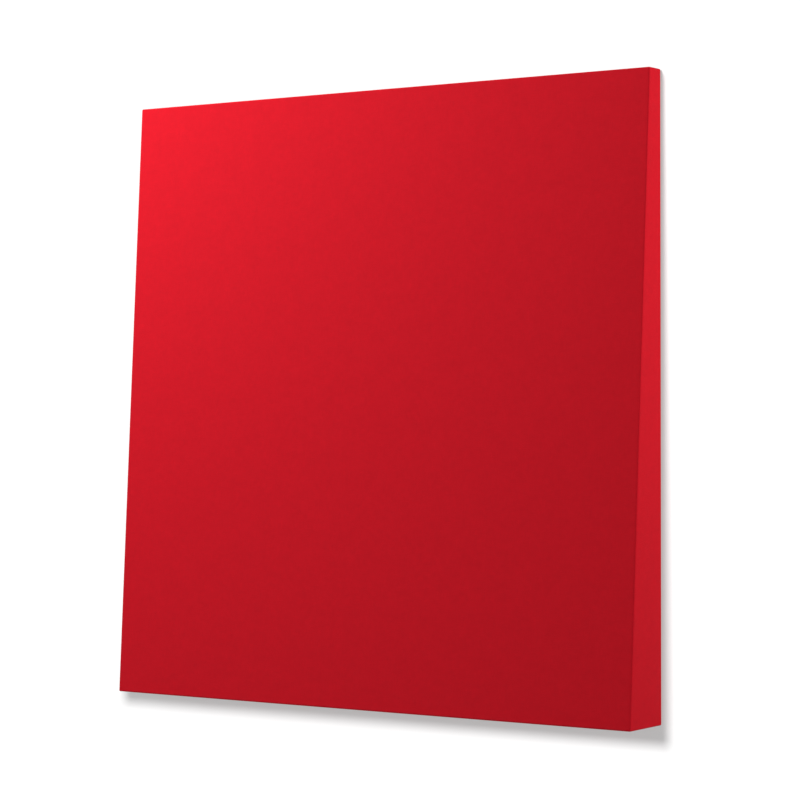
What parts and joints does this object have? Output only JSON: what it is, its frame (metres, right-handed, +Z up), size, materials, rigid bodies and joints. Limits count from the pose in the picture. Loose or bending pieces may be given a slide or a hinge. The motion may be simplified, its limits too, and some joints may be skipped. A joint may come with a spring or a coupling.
{
  "type": "tapered acoustic wall panel",
  "caption": "Square cloth-covered acoustic wedge panel, thin at the top and thick at the bottom, that lifts on and off a wall rail.",
  "frame": {"origin": "centre of the wall rail's flat back face, which lies on the wall", "axes": "+X to the right as seen from the room, +Z up, +Y into the wall; the covered front faces -Y"},
  "size_m": [0.61, 0.0603, 0.61],
  "materials": {
    "cover_cloth": "matte",
    "back_cloth": "matte",
    "glass_fibre_board": "matte",
    "mineral_wool": "matte",
    "softwood": "matte",
    "birch_plywood": "matte",
    "aluminium_bar": "satin",
    "zinc_steel": "satin"
  },
  "bodies": {
    "wall_mount": {"wall_rail": "aluminium_bar"},
    "panel": {"fabric_cover": "cover_cloth", "face_board": "glass_fibre_board", "top_core": "mineral_wool", "front_core": "mineral_wool", "upper_core": "mineral_wool", "lower_core": "mineral_wool", "top_rail": "softwood", "bottom_rail": "softwood", "left_side_rail": "softwood", "right_side_rail": "softwood", "centre_stretcher": "softwood", "hanging_board": "birch_plywood", "upper_channel_strip": "birch_plywood", "lower_channel_strip": "birch_plywood", "top_left_gusset": "birch_plywood", "top_right_gusset": "birch_plywood", "bottom_left_gusset": "birch_plywood", "bottom_right_gusset": "birch_plywood", "back_cloth": "back_cloth", "hook_clip_left": "aluminium_bar", "hook_clip_right": "aluminium_bar", "clip_screw_left_1": "zinc_steel", "clip_screw_left_2": "zinc_steel", "clip_screw_right_1": "zinc_steel", "clip_screw_right_2": "zinc_steel", "left_top_rail_screw_1": "zinc_steel", "left_bottom_rail_screw_1": "zinc_steel", "left_bottom_rail_screw_2": "zinc_steel", "left_centre_stretcher_screw_1": "zinc_steel", "left_centre_stretcher_screw_2": "zinc_steel", "left_hanging_board_screw_1": "zinc_steel", "left_hanging_board_screw_2": "zinc_steel", "right_top_rail_screw_1": "zinc_steel", "right_bottom_rail_screw_1": "zinc_steel", "right_bottom_rail_screw_2": "zinc_steel", "right_centre_stretcher_screw_1": "zinc_steel", "right_centre_stretcher_screw_2": "zinc_steel", "right_hanging_board_screw_1": "zinc_steel", "right_hanging_board_screw_2": "zinc_steel"}
  },
  "joints": [
    {"name": "lift_off", "type": "slide", "parent": "wall_mount", "child": "panel", "axis": [0, 0, 1], "range_m": [0, 0.018]}
  ]
}
